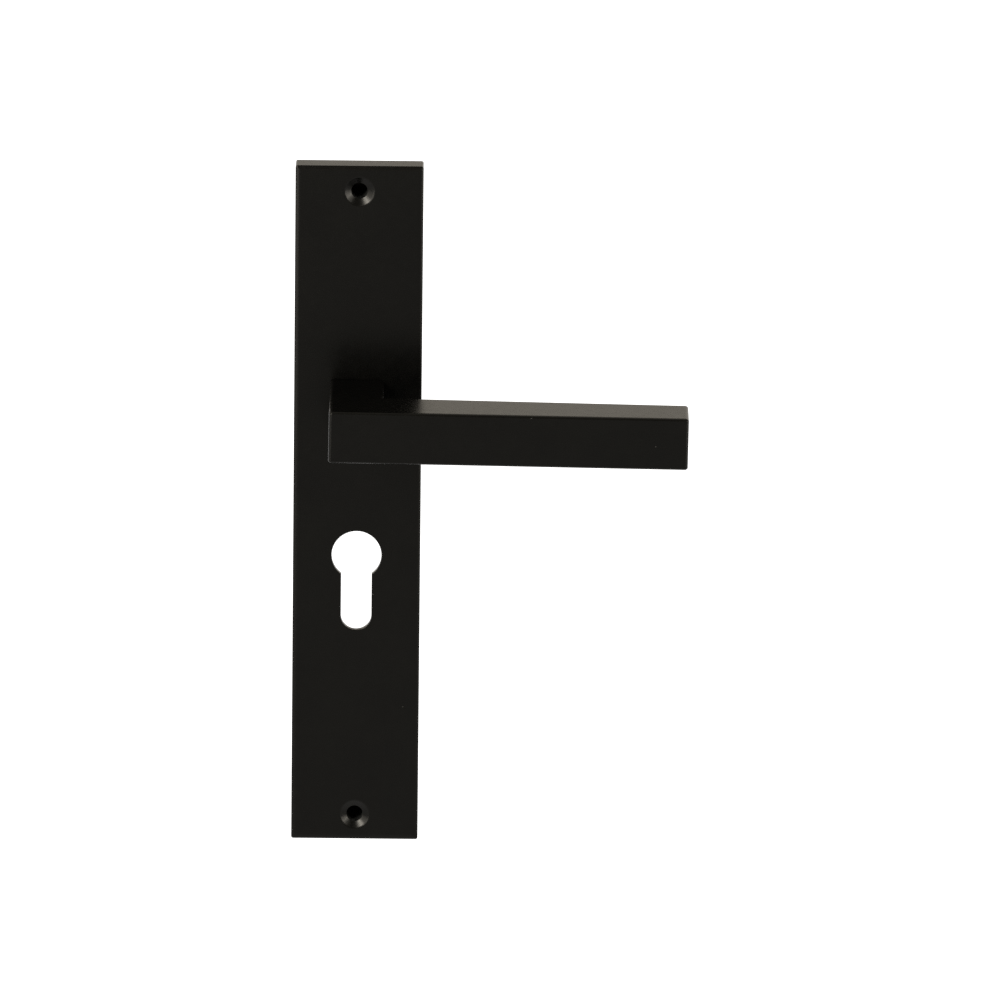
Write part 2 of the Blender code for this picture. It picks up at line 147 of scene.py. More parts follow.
HOLE_LIP = 0.2
EJECTOR_R = 2.6
EJECTOR_DEPTH = 0.15
EJECTOR_LIP = 0.05
EJECTOR_X = (-11.0, 11.0)
EJECTOR_Z = (58.0, 38.0, -32.0, -98.0, -118.0, -136.0)

# Lever.
LEVER_TURN = 45.0  # degrees, from rest to its lower stop
DROOP = 0.6  # degrees, the slack between lever and spindle at rest
GRIP_TIP = 116.0
GRIP_HEIGHT = 18.6
GRIP_DEPTH_AT_NECK = 21.9
GRIP_DEPTH_AT_TIP = 20.1
LEVER_LEFT = -9.7
NECK_RIGHT = 9.05
NECK_STANDOFF = 0.6
NECK_BACK = PLATE.front - NECK_STANDOFF
LEVER_EDGE = 0.9
LEVER_CORNER = 1.2 * LEVER_EDGE
LEVER_ROLL = 1.5  # how far in the rolled edge of the top and the underside starts
SPIGOT_R = 7.0
SPIGOT_EDGE = 0.12
SPIGOT_FLAT = 6.2  # from the axis to each of the two flats
SPIGOT_FLATS_FROM = -5.6
GROOVE_R = 6.65
SPINDLE_SLACK = 0.1  # on each side, in the lever's square hole
SPINDLE_EDGE = 0.5
SPINDLE_CORNER = 1.2 * SPINDLE_EDGE
SQUARE_HOLE_CORNER = 0.25

# Grub screw.
GRUB_Y = -20.0
GRUB_R = 2.4
GRUB_LOW = -8.8
GRUB_HIGH = SPINDLE.low - GAP
GRUB_PITCH = 0.8
GRUB_THREAD = 0.45
GRUB_END_R = GRUB_R - 0.5
GRUB_POINT_R = GRUB_R - 0.8
GRUB_SOCKET = 2.5  # across its flats
GRUB_SOCKET_DEPTH = 2.0
GRUB_SOCKET_CORNER = 0.08
GRUB_SOCKET_LIP = 0.12
GRUB_SOCKET_FLOOR = 0.3

# Cam plate and its stops. Halves and spans are angles in degrees.
CAM_THICKNESS = 1.3
CAM_BACK = CAM.front + CAM_THICKNESS
CAM_R = 10.0
CAM_CORNER = 0.4
CAM_HOLE_CORNER = 0.2
TAB_R = 13.5
TAB_HALF = 10.0
TAB_AT_REST = 90.0 + LEVER_TURN / 2
LUG_IN_R = 11.3
LUG_OUT_R = 13.4
LUG_HALF = 7.5
LUG_TAB_HALF = LUG_HALF + 1  # of the tab that carries the lug
LUG_AT_REST = -90.0 + LEVER_TURN / 2
LUG_EDGE = 0.25
STOP_IN_R = 10.9
STOP_OUT_R = 13.7
STOP_SPAN = 14.0
STOP_EDGE = 0.2
STOP_CORNER = 0.3  # also the lug's and the peg's
PRESSED_EDGE = 0.15

# Bush, washers and circlip.
BUSH_R = 8.1
BUSH_EDGE = 0.15
WASHER_EDGE = 0.08
THRUST_EDGE = 0.14
WAVE_EDGE = 0.1
WAVE_THICKNESS = 0.3
WAVE_HEIGHT = 0.2
WAVES = 3
CLIP_R = 8.6
CLIP_CORNER = 0.3
CLIP_EDGE = 0.1
CLIP_GAP_HALF = 14.0
EAR_R = 1.5
EAR_HOLE_R = EAR_R / 3
EAR_INSET = 0.01  # from the ring's faces, so that the two don't share a plane
EAR_TURN = 2.0  # degrees, from the ring's end to the middle of an ear
EAR_HOLE_LIP = 0.08

# Return spring.
WIRE_R = 0.7
SPRING_R = 15.0
SPRING_TURNS = 1.75
SPRING_BEND = 1.6
LEG_OUT_R = 18.6
LEG_IN_R = 11.5
PEG_SIZE = 3.0
PEG_IN_X = -16.5
PEG_EDGE = 0.25
SPRING_FRONT = WALL_BACK + GAP + WIRE_R
SPRING_BACK = COVER.front - GAP - WIRE_R
REAR_LEG = LUG_AT_REST - LUG_HALF - DROOP - math.degrees((WIRE_R + GAP) / LUG_IN_R)
FRONT_LEG = REAR_LEG + SPRING_TURNS * 360

# Spring cover and its screws.
COVER_CORNER = 2.0
COVER_HOLE_R = 10.8
WINDOW_IN_R = 12.6
WINDOW_OUT_R = 17.4
WINDOW_HALF = 22.0
WINDOW_CORNER = 0.8
PILLAR_R = 3.2
PILLAR_EDGE = 0.25
PILLAR_BACK = COVER.front - GAP
COVER_SCREW_R = 1.1
COVER_SCREW_TIP_R = 0.6
COVER_SCREW_PITCH = 0.7
COVER_SCREW_THREAD = 0.25
COVER_SCREW_HEAD_R = 2.2
COVER_SCREW_HEAD = 0.75
HEAD_CHAMFER = 0.1
HEAD_RIM = 0.3
HEAD_FLAT_R = COVER_SCREW_HEAD_R * 0.45
HEAD_STEPS = 6
RECESS_REACH = COVER_SCREW_HEAD_R * 0.62
RECESS_ARM = RECESS_REACH * 0.19
RECESS_CORNER = 0.05
# (growth of the cross, y from the head's back) of the recess, from beyond the head to its floor.
RECESS_LEVELS = ((0.12, PAST), (0.04, 0.02), (-0.08, -0.55))
FIRST_RECESS_TURN = 23  # degrees
RECESS_TURN = 61  # degrees, from one screw to the next


# Outlines: lists of (x, z) points, counterclockwise as seen from the front.


def arc(radius, start, end, steps, centre=(0.0, 0.0)):
    """Points along an arc, both ends included, with angles in degrees."""
    angles = [math.radians(start + (end - start) * i / steps) for i in range(steps + 1)]
    return [(centre[0] + radius * math.cos(a), centre[1] + radius * math.sin(a)) for a in angles]


def on_circle(radius, angle):
    return arc(radius, angle, angle, 1)[0]


def circle(radius, centre=(0.0, 0.0), sides=SIDES):
    return arc(radius, 0, 360, sides, centre)[:-1]


def rectangle(low, high):
    return [low, (high[0], low[1]), high, (low[0], high[1])]


def sector(inner, outer, middle, half, steps=12):
    """A piece of a ring that reaches half degrees to each side of its middle."""
    start, end = middle - half, middle + half
    return arc(outer, start, end, steps) + arc(inner, end, start, steps)


def double_d(radius, flat):
    """A circle cut by two flats at x = flat and x = -flat."""
    edge = math.degrees(math.acos(flat / radius))
    steps = SIDES // 3
    return arc(radius, edge, 180 - edge, steps) + arc(radius, 180 + edge, 360 - edge, steps)


def cylinder_cutout():
    """The Euro profile: a circle above a narrower slot with a round foot."""
    half = CYLINDER_SLOT / 2
    junction = math.degrees(math.asin(half / CYLINDER_R))
    head = arc(CYLINDER_R, -90 + junction, 270 - junction, SIDES, (0, CYLINDER_Z))
    foot = arc(half, 180, 360, SIDES // 2, (0, CYLINDER_Z - CYLINDER_FOOT + half))
    return head + foot


def cam_outline(tab_steps=6, disc_steps=40):
    """A disc with the stop tab at the top and the tab that carries the spring's lug below."""
    tab_start, tab_end = TAB_AT_REST - TAB_HALF, TAB_AT_REST + TAB_HALF
    lug_start, lug_end = LUG_AT_REST - LUG_TAB_HALF, LUG_AT_REST + LUG_TAB_HALF
    points = arc(TAB_R, tab_start, tab_end, tab_steps)
    points += arc(CAM_R, tab_end, lug_start + 360, disc_steps)
    points += arc(TAB_R, lug_start, lug_end, tab_steps)
    points += arc(CAM_R, lug_end, tab_start, disc_steps)
    return points


def rounded(points, radius, closed=True, steps=CORNER_STEPS):
    """The outline with an arc of that radius at each corner. An open one keeps its two ends."""
    corners = [Vector(point) for point in points]
    result = []
    for i, corner in enumerate(corners):
        back = (corners[i - 1] - corner).normalized()
        ahead = (corners[(i + 1) % len(corners)] - corner).normalized()
        half = back.angle(ahead) / 2
        is_end = not closed and i in (0, len(corners) - 1)
        if is_end or half > NEARLY_STRAIGHT:
            result.append(corner)
            continue
        centre = corner + (back + ahead).normalized() * (radius / math.sin(half))
        reach = radius / math.tan(half)
        start = corner + back * reach - centre
        end = corner + ahead * reach - centre
        turn = start.angle(end)
        for step in range(steps + 1):
            share = step / steps
            mixed = start * math.sin((1 - share) * turn) + end * math.sin(share * turn)
            result.append(centre + mixed / math.sin(turn))
    return result


def grown(points, amount):
    """The outline with each side moved out by an amount."""
    corners = [Vector(point) for point in points]
    result = []
    for i, corner in enumerate(corners):
        before = (corner - corners[i - 1]).normalized()
        after = (corners[(i + 1) % len(corners)] - corner).normalized()
        out = Vector((before.y, -before.x))
        middle = (out + Vector((after.y, -after.x))).normalized()
        result.append(corner + middle * (amount / middle.dot(out)))
    return result


# Shells: each function adds one closed shell, in millimetres, to a bmesh.


def skin(bm, loops, ring=False):
    """Faces between neighbouring loops of points, and caps on the two ends unless they join up."""
    rows = [[bm.verts.new(point) for point in loop] for loop in loops]
    pairs = list(zip(rows, rows[1:]))
    if ring:
        pairs.append((rows[-1], rows[0]))
    else:
        bm.faces.new(rows[0])
        bm.faces.new(rows[-1])
    for near, far in pairs:
        for i in range(len(near)):
            bm.faces.new((near[i - 1], near[i], far[i], far[i - 1]))


def quarter_turns(steps):
    return [math.radians(90 * i / steps) for i in range(steps + 1)]


def end_levels(face, inward, edge, steps):
    """(offset, y) pairs from a face inwards, for one end of a slab.

    A positive edge rounds the end off. A negative one is the flared mouth of a cutter, which starts
    beyond the face and leaves a rounded lip round the hole.
    """
    if edge == 0:
        return [(0.0, face)]
    levels = []
    for turn in quarter_turns(steps):
        offset = -edge * (1 - math.sin(turn))
        levels.append((offset, face + inward * abs(edge) * (1 - math.cos(turn))))
    if edge < 0:
        levels.insert(0, (-edge, face - inward * PAST))
    return levels


def slab(bm, outline, front, back, front_edge=0.0, back_edge=0.0, steps=EDGE_STEPS):
    """The outline, extruded along Y."""
    levels = end_levels(front, 1, front_edge, steps)
    levels += reversed(end_levels(back, -1, back_edge, steps))
    skin(bm, [[(x, y, z) for x, z in grown(outline, offset)] for offset, y in levels])


def roll_levels(face, inward, width, depth):
    """(inset, y) pairs along a quarter of an ellipse from a face inwards."""
    levels = []
    for turn in quarter_turns(ROLL_STEPS):
        inset = width * (1 - math.sin(turn))
        levels.append((inset, face + inward * depth * (1 - math.cos(turn))))
    return levels


def rolled_slab(bm, corners, front, back, corner, front_roll, back_roll):
    """The outline's corners, rounded and extruded along Y. A roll is (width, depth) of an end's edge."""
    levels = roll_levels(front, 1, *front_roll)
    levels += reversed(roll_levels(back, -1, *back_roll))
    loops = []
    for inset, y in levels:
        outline = rounded(grown(corners, -inset), max(corner - inset, SHARPEST))
        loops.append([(x, y, z) for x, z in outline])
    skin(bm, loops)


def turned(bm, profile, centre=(0.0, 0.0), sides=SIDES, ring=False):
    """A profile of (radius, y) points turned about an axis along Y."""
    loops = [[(x, y, z) for x, z in circle(radius, centre, sides)] for radius, y in profile]
    skin(bm, loops, ring)


def washer(bm, inner, outer, front, back, edge, sides=SIDES):
    corners = [(inner, front), (outer, front), (outer, back), (inner, back)]
    turned(bm, rounded(corners, edge, steps=3), sides=sides, ring=True)


def foot(radius, floor, steps=4):
    """The start of a pillar's profile: a fillet that runs out into the floor it stands on."""
    curve = arc(CAST_FILLET, -90, -180, steps, (radius + CAST_FILLET, floor + CAST_FILLET))
    return [(radius + CAST_FILLET, floor - OVERLAP)] + curve


def threaded(bm, radius, depth, pitch, front, back, end_radii):
    """A screw's shank along Y: a thread that fades at both ends, each end drawn in to a radius."""
    core = radius - depth
    steps = round((back - front) / pitch * THREAD_STEPS)
    loops = []
    for step in range(steps + 1):
        y = front + (back - front) * step / steps
        fade = min(1.0, (y - front) / pitch, (back - y) / pitch)
        chamfer = max(0.0, 1 - 2 * fade)
        end_radius = end_radii[0] if y < (front + back) / 2 else end_radii[1]
        loop = []
        for side in range(SMALL_SIDES):
            phase = (y / pitch - side / SMALL_SIDES) % 1
            ridge = RIDGE_SLOPE * (1 - abs(2 * phase - 1)) - RIDGE_SUNK
            reach = core + depth * min(1.0, max(0.0, ridge)) * fade
            reach += (end_radius - reach) * chamfer
            angle = math.tau * side / SMALL_SIDES
            loop.append((reach * math.cos(angle), y, reach * math.sin(angle)))
        loops.append(loop)
    skin(bm, loops)


# Pieces.


def solid(name, bm):
    """An object from a bmesh in millimetres."""
    bmesh.ops.scale(bm, vec=(MM, MM, MM), verts=bm.verts)
    bmesh.ops.recalc_face_normals(bm, faces=bm.faces)
    mesh = bpy.data.meshes.new(name)
    bm.to_mesh(mesh)
    bm.free()
    piece = bpy.data.objects.new(name, mesh)
    bpy.context.scene.collection.objects.link(piece)
    return piece


def rotate(bm, degrees, axis):
    turn = Matrix.Rotation(math.radians(degrees), 3, axis)
    bmesh.ops.rotate(bm, verts=bm.verts, cent=(0, 0, 0), matrix=turn)


def apply_modifiers(piece):
    graph = bpy.context.evaluated_depsgraph_get()
    mesh = bpy.data.meshes.new_from_object(piece.evaluated_get(graph))
    piece.modifiers.clear()
    old = piece.data
    piece.data = mesh
    bpy.data.meshes.remove(old)


def combine(piece, bm, operation):
    helper = solid("helper", bm)
    modifier = piece.modifiers.new(operation, "BOOLEAN")
    modifier.operation = operation
    modifier.object = helper
    apply_modifiers(piece)
    mesh = helper.data
    bpy.data.objects.remove(helper)
    bpy.data.meshes.remove(mesh)


def cut(piece, bm):
    combine(piece, bm, "DIFFERENCE")


def join(piece, bm):
    combine(piece, bm, "UNION")


def smooth(piece):
    """Shades flat faces flat, so that the small rounded edges carry the change between them."""
    piece.data.shade_smooth()
    piece.data.set_sharp_from_angle(angle=SHARP_ANGLE)
    modifier = piece.modifiers.new("normals", "WEIGHTED_NORMAL")
    modifier.keep_sharp = True
    modifier.weight = 100
    apply_modifiers(piece)


def droop(piece):
    """The lever and what turns with it hang by the spindle's slack at rest."""
    piece.data.transform(Matrix.Rotation(math.radians(DROOP), 4, "Y"))


def dress(piece, material, slot, body, *nodes):
    """Finishes a piece and puts it in the place of its CAD nodes."""
    smooth(piece)
    piece.data.materials.clear()
    piece.data.materials.append(material)
    if body:
        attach(piece, body)
    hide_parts(*nodes)


# Backplate.


def screw_places():
    return [(0.0, PLATE.high - SCREW_FROM_END), (0.0, PLATE.low + SCREW_FROM_END)]


def pillar_places():
    return [middle_of(span(node)) for node in COVER_SCREWS]


def plate_shell():
    bm = bmesh.new()
    corners = rectangle((PLATE.left, PLATE.low), (PLATE.right, PLATE.high))
    front_roll = (PLATE_ROLL, PLATE_EDGE)
    back_roll = (RIM_EDGE, RIM_EDGE)
    rolled_slab(bm, corners, PLATE.front, DOOR_FACE, PLATE_CORNER, front_roll, back_roll)
    plate = solid("backplate_casting", bm)

    bm = bmesh.new()
    low = (PLATE.left + SIDE_WALL, PLATE.low + SIDE_WALL)
    high = (PLATE.right - SIDE_WALL, PLATE.high - SIDE_WALL)
    slab(bm, rounded(rectangle(low, high), POCKET_CORNER), WALL_BACK, DOOR_FACE, CAST_FILLET, -RIM_EDGE)
    cut(plate, bm)
    return plate


def plate_posts(plate):
    """Bosses with the posts on them, and pillars for the cover."""
    bm = bmesh.new()
    boss_back = DOOR_FACE - BOSS_STEP
    for centre in screw_places():
        profile = foot(BOSS_R, WALL_BACK)
        corners = [
            profile.pop(),
            (BOSS_R, boss_back),
            (POST_R, boss_back),
            (POST_R, PLATE.back),
            (SCREW_HOLE_R, PLATE.back),
        ]
        turned(bm, profile + rounded(corners, BOSS_EDGE, closed=False), centre)
    for centre in pillar_places():
        profile = foot(PILLAR_R, WALL_BACK)
        corners = [profile.pop(), (PILLAR_R, PILLAR_BACK), (COVER_SCREW_R, PILLAR_BACK)]
        turned(bm, profile + rounded(corners, PILLAR_EDGE, closed=False), centre, SMALL_SIDES)
    join(plate, bm)


def plate_stops(plate):
    """Two stops for the cam plate's tab and the peg that holds the spring's front leg."""
    bm = bmesh.new()
    gap = math.degrees(STOP_GAP / STOP_OUT_R)
    reach = TAB_HALF + gap + STOP_SPAN / 2
    for middle in (TAB_AT_REST + reach, TAB_AT_REST - LEVER_TURN - DROOP - reach):
        outline = rounded(sector(STOP_IN_R, STOP_OUT_R, middle, STOP_SPAN / 2, 6), STOP_CORNER)
        slab(bm, outline, WALL_BACK - OVERLAP, CAM_BACK + GAP, 0, STOP_EDGE)
    peg_foot = LEG_OUT_R * math.sin(math.radians(FRONT_LEG)) + 2 * WIRE_R + GAP
    wall = PLATE.left + SIDE_WALL - OVERLAP
    outline = rounded(rectangle((wall, peg_foot), (PEG_IN_X, peg_foot + PEG_SIZE)), STOP_CORNER)
    slab(bm, outline, WALL_BACK - OVERLAP, SPRING_FRONT + 2 * WIRE_R, 0, PEG_EDGE)
    join(plate, bm)


def screw_hole():
    """The profile of a fixing hole's cutter, with a rounded lip where the sink meets the face."""
    lip_r = SINK_R + SINK_LIP * math.tan(math.radians(SINK_SLOPE) / 2)
    lip = arc(SINK_LIP, -90, -90 - SINK_SLOPE, SINK_LIP_STEPS, (lip_r, PLATE.front + SINK_LIP))
    return [
        (lip[0][0], PLATE.front - PAST),
        *lip,
        (SCREW_HOLE_R, PLATE.front + SINK_DEPTH),
        (SCREW_HOLE_R, PLATE.back - HOLE_LIP),
        (SCREW_HOLE_R + 2 * HOLE_LIP, PLATE.back + HOLE_LIP),
    ]


def pillar_hole():
    """The profile of the cutter for a cover screw's hole."""
    radius = COVER_SCREW_R + TURN_GAP
    return [
        (radius, WALL_BACK + PAST),
        (radius, PILLAR_BACK - HOLE_LIP),
        (radius + HOLE_LIP, PILLAR_BACK),
        (radius + HOLE_LIP, PILLAR_BACK + PAST),
    ]


def plate_holes(plate):
    bm = bmesh.new()
    slab(bm, circle(BUSH_R + TURN_GAP), PLATE.front, WALL_BACK, -HOLE_LIP, -HOLE_LIP)
    slab(bm, cylinder_cutout(), PLATE.front, WALL_BACK, -CUTOUT_LIP, -HOLE_LIP)
    for centre in screw_places():
        turned(bm, screw_hole(), centre)
    for centre in pillar_places():
        turned(bm, pillar_hole(), centre, SMALL_SIDES)
    cut(plate, bm)


def ejector_marks(plate):
    bm = bmesh.new()
    floor = WALL_BACK - EJECTOR_DEPTH
    for z in EJECTOR_Z:
        for x in EJECTOR_X:
            outline = circle(EJECTOR_R, (x, z), TINY_SIDES)
            slab(bm, outline, floor, WALL_BACK, EJECTOR_LIP, -EJECTOR_LIP)
    cut(plate, bm)


def paint_bore_shade(plate, material):
    """Gives the inside of the posts a dull, dark material: painted shade for the deep, narrow bores."""
    plate.data.materials.append(material)
    sink_end = PLATE.front + SINK_DEPTH
    for face in plate.data.polygons:
        x, y, z = face.center / MM
        for centre in screw_places():
            reach = math.hypot(x - centre[0], z - centre[1])
            if reach < SCREW_HOLE_R + HOLE_LIP and y > sink_end - TURN_GAP:
                face.material_index = 1


def backplate_casting(material, inside):
    plate = plate_shell()
    plate_posts(plate)
    plate_stops(plate)
    plate_holes(plate)
    ejector_marks(plate)
    dress(plate, material, "black_coat", "plate", "backplate")
    paint_bore_shade(plate, inside)


# Lever, spindle and grub screw.


def upright(bm):
    """Turns what runs along Y so that it runs along Z, at the grub screw's place."""
    rotate(bm, 90, "X")
    bmesh.ops.translate(bm, verts=bm.verts, vec=(0, GRUB_Y, 0))


def lever_body():
    """Grip and neck are one outline seen from above, as deep along Z as the grip is high."""
    front = LEVER.front
    seen_from_above = [
        (LEVER_LEFT, front),
        (GRIP_TIP, front),
        (GRIP_TIP, front + GRIP_DEPTH_AT_TIP),
        (NECK_RIGHT, front + GRIP_DEPTH_AT_NECK),
        (NECK_RIGHT, NECK_BACK),
        (LEVER_LEFT, NECK_BACK),
    ]
    bm = bmesh.new()
    half_height = GRIP_HEIGHT / 2
    roll = (LEVER_ROLL, LEVER_EDGE)
    rolled_slab(bm, seen_from_above, -half_height, half_height, LEVER_CORNER, roll, roll)
    # Turns the outline's (x, depth) from the XZ plane into the XY plane.
    rotate(bm, -90, "X")
    return solid("lever_casting", bm)


def spigot(handle):
    """The turned shaft behind the neck, with the circlip's groove and flats for the cam plate."""
    bm = bmesh.new()
    groove_front = CLIP.front - TURN_GAP
    groove_back = CLIP.back + TURN_GAP
    shaft = [
        (SPIGOT_R, NECK_BACK - OVERLAP),
        (SPIGOT_R, groove_front),
        (GROOVE_R, groove_front),
        (GROOVE_R, groove_back),
        (SPIGOT_R, groove_back),
        (SPIGOT_R, LEVER.back),
        (SPINDLE.right, LEVER.back),
    ]
    turned(bm, rounded(shaft, SPIGOT_EDGE, closed=False, steps=3))
    join(handle, bm)

    bm = bmesh.new()
    far = SPIGOT_R + PAST
    for low, high in ((-far, -SPIGOT_FLAT), (SPIGOT_FLAT, far)):
        slab(bm, rectangle((low, -far), (high, far)), SPIGOT_FLATS_FROM, PAST)
    cut(handle, bm)


def lever_holes(handle):
    """The square hole for the spindle, and the grub screw's hole from the neck's underside into it."""
    bm = bmesh.new()
    half = SPINDLE.right + SPINDLE_SLACK
    outline = rounded(rectangle((-half, -half), (half, half)), SQUARE_HOLE_CORNER)
    slab(bm, outline, SPINDLE.front - OVERLAP, LEVER.back, 0, -HOLE_LIP)
    cut(handle, bm)

    bm = bmesh.new()
    # The flared mouth is at the slab's back, and the half turn brings it under the neck.
    slab(bm, circle(GRUB_R + TURN_GAP), half - OVERLAP, GRIP_HEIGHT / 2, 0, -HOLE_LIP)
    rotate(bm, 180, "X")
    upright(bm)
    cut(handle, bm)


def lever_casting(material):
    handle = lever_body()
    spigot(handle)
    lever_holes(handle)
    droop(handle)
    dress(handle, material, "black_coat", "lever", "lever")


def square_spindle(material):
    bm = bmesh.new()
    corners = rectangle((SPINDLE.left, SPINDLE.low), (SPINDLE.right, SPINDLE.high))
    outline = rounded(corners, SPINDLE_CORNER)
    slab(bm, outline, SPINDLE.front, SPINDLE.back, SPINDLE_EDGE, SPINDLE_EDGE)
    bar = solid("square_spindle", bm)
    dress(bar, material, "zinc_plated_steel", "lever", "spindle")


def set_screw(material):
    """A threaded pin with a blunt point above and a hexagon socket below."""
    bm = bmesh.new()
    end_radii = (GRUB_END_R, GRUB_POINT_R)
    threaded(bm, GRUB_R, GRUB_THREAD, GRUB_PITCH, GRUB_LOW, GRUB_HIGH, end_radii)
    upright(bm)
    screw = solid("set_screw", bm)
    bm = bmesh.new()
    socket = arc(GRUB_SOCKET / math.sqrt(3), 0, 360, 6)[:-1]
    outline = rounded(socket, GRUB_SOCKET_CORNER, steps=2)
    floor = GRUB_LOW + GRUB_SOCKET_DEPTH
    slab(bm, outline, GRUB_LOW, floor, -GRUB_SOCKET_LIP, GRUB_SOCKET_FLOOR)
    upright(bm)
    cut(screw, bm)
    droop(screw)
    dress(screw, material, "spring_steel", "lever", "grub_screw")


# Bearing, washers, cam plate and circlip.


def nylon_washer(material):
    bm = bmesh.new()
    washer(bm, SPIGOT_R + GAP, WASHER.right, WASHER.front, WASHER.back, WASHER_EDGE)
    dress(solid("nylon_washer", bm), material, "nylon", "plate", "front_washer")


def nylon_bush(material):
    inner = SPIGOT_R + TURN_GAP
    flange_front = WALL_BACK + GAP
    profile = [
        (inner, BUSH.front),
        (BUSH_R, BUSH.front),
        (BUSH_R, flange_front),
        (BUSH.right, flange_front),
        (BUSH.right, BUSH.back),
        (inner, BUSH.back),
    ]
    bm = bmesh.new()
    turned(bm, rounded(profile, BUSH_EDGE, steps=3), ring=True)
    dress(solid("nylon_bush", bm), material, "nylon", "plate", "bearing_bush")


def thrust_ring(material):
    bm = bmesh.new()
    washer(bm, SPIGOT_R + GAP, THRUST.right, THRUST.front, THRUST.back, THRUST_EDGE)
    dress(solid("thrust_ring", bm), material, "zinc_plated_steel", "lever", "thrust_washer")


def wave_ring(material):
    bm = bmesh.new()
    half = WAVE_THICKNESS / 2
    middle = (WAVE.front + WAVE.back) / 2
    washer(bm, SPIGOT_R + GAP, WAVE.right, -half, half, WAVE_EDGE, 2 * SIDES)
    for vert in bm.verts:
        vert.co.y += middle + WAVE_HEIGHT * math.cos(WAVES * math.atan2(vert.co.z, vert.co.x))
    ring = solid("wave_ring", bm)
    droop(ring)
    dress(ring, material, "spring_steel", "lever", "wave_washer")


def stop_cam(material):
    bm = bmesh.new()
    outline = rounded(cam_outline(), CAM_CORNER)
    slab(bm, outline, CAM.front, CAM_BACK, PRESSED_EDGE, PRESSED_EDGE / 2)
    cam = solid("stop_cam", bm)
    bm = bmesh.new()
    outline = rounded(sector(LUG_IN_R, LUG_OUT_R, LUG_AT_REST, LUG_HALF, 6), STOP_CORNER)
    slab(bm, outline, CAM_BACK - OVERLAP, CAM.back, 0, LUG_EDGE)
    join(cam, bm)
    bm = bmesh.new()
    outline = rounded(double_d(SPIGOT_R + TURN_GAP, SPIGOT_FLAT + TURN_GAP), CAM_HOLE_CORNER)
    slab(bm, outline, CAM.front, CAM_BACK, -PRESSED_EDGE, -PRESSED_EDGE / 2)
    cut(cam, bm)
    droop(cam)
    dress(cam, material, "zinc_plated_steel", "lever", "cam_plate")


def retaining_ring(material):
    """An open ring with an eared end on each side of its gap, which faces down."""
    start, end = -90 + CLIP_GAP_HALF, 270 - CLIP_GAP_HALF
    inner = GROOVE_R + TURN_GAP
    outline = arc(CLIP_R, start, end, SIDES) + arc(inner, end, start, SIDES)
    bm = bmesh.new()
    slab(bm, rounded(outline, CLIP_CORNER), CLIP.front, CLIP.back, CLIP_EDGE, CLIP_EDGE)
    clip = solid("retaining_ring", bm)
    ears = [on_circle(CLIP_R - OVERLAP / 2, angle) for angle in (start + EAR_TURN, end - EAR_TURN)]
    bm = bmesh.new()
    front, back = CLIP.front + EAR_INSET, CLIP.back - EAR_INSET
    for centre in ears:
        slab(bm, circle(EAR_R, centre, SMALL_SIDES), front, back, CLIP_EDGE, CLIP_EDGE)
    join(clip, bm)
    bm = bmesh.new()
    for centre in ears:
        outline = circle(EAR_HOLE_R, centre, TINY_SIDES)
        slab(bm, outline, CLIP.front, CLIP.back, -EAR_HOLE_LIP, -EAR_HOLE_LIP)
    cut(clip, bm)
    droop(clip)
    dress(clip, material, "spring_steel", "lever", "circlip")


# Return spring.


def spring_route(bend_steps=8, steps_per_turn=72):
    """Points of the wire: a leg out to the plate's peg, the coil, a leg in to the cam's lug."""
    bend_angle = math.degrees(SPRING_BEND / SPRING_R)
    bend = quarter_turns(bend_steps)
    places = [(LEG_OUT_R, FRONT_LEG)]
    for turn in bend:
        radius = SPRING_R + SPRING_BEND * (1 - math.sin(turn))
        places.append((radius, FRONT_LEG - bend_angle * (1 - math.cos(turn))))
    first, last = FRONT_LEG - bend_angle, REAR_LEG + bend_angle
    steps = round(steps_per_turn * SPRING_TURNS)
    places += [(SPRING_R, first + (last - first) * i / steps) for i in range(1, steps)]
    for turn in bend:
        radius = SPRING_R - SPRING_BEND * (1 - math.cos(turn))
        places.append((radius, last - bend_angle * math.sin(turn)))
    places.append((LEG_IN_R, REAR_LEG))
    points = []
    for radius, angle in places:
        share = (FRONT_LEG - angle) / (FRONT_LEG - REAR_LEG)
        x, z = on_circle(radius, angle)
        points.append(Vector((x, SPRING_FRONT + (SPRING_BACK - SPRING_FRONT) * share, z)))
    return points


Station = namedtuple("Station", "centre tangent radius length")


